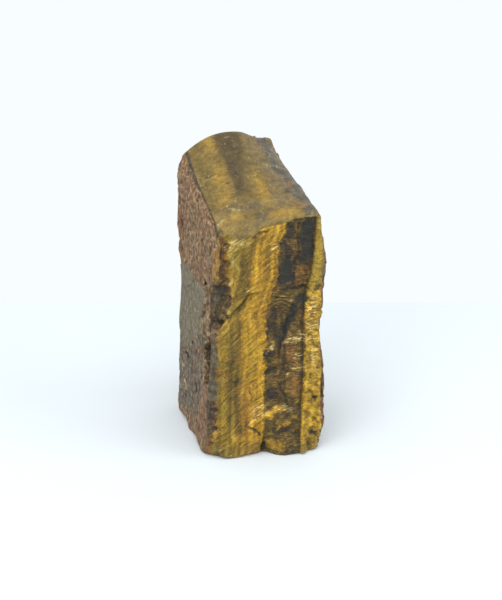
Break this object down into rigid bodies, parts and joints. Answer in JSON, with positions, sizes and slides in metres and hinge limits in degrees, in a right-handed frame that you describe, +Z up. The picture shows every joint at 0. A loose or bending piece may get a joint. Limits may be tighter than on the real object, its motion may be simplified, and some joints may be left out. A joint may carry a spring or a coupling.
{
  "type": "rough tiger's eye",
  "caption": "Rough block of tiger's eye standing on end: gold, olive and dark brown fibrous quartz between ironstone walls, with a worn sloping top and a flat base.",
  "frame": {"origin": "on the resting face, under the middle of the block's outer box", "axes": "+Z up, along the colour bands; +X across the seam, from the pinkish brown ironstone wall to the thin brown one; -Y out of the broken front face"},
  "size_m": [0.0397, 0.0495, 0.0905],
  "materials": {
    "tigers_eye": "broken and worn fibrous quartz, silky along the fibres, with ironstone walls"
  },
  "bodies": {
    "root": {"tigers_eye_stone": "tigers_eye"}
  },
  "joints": []
}
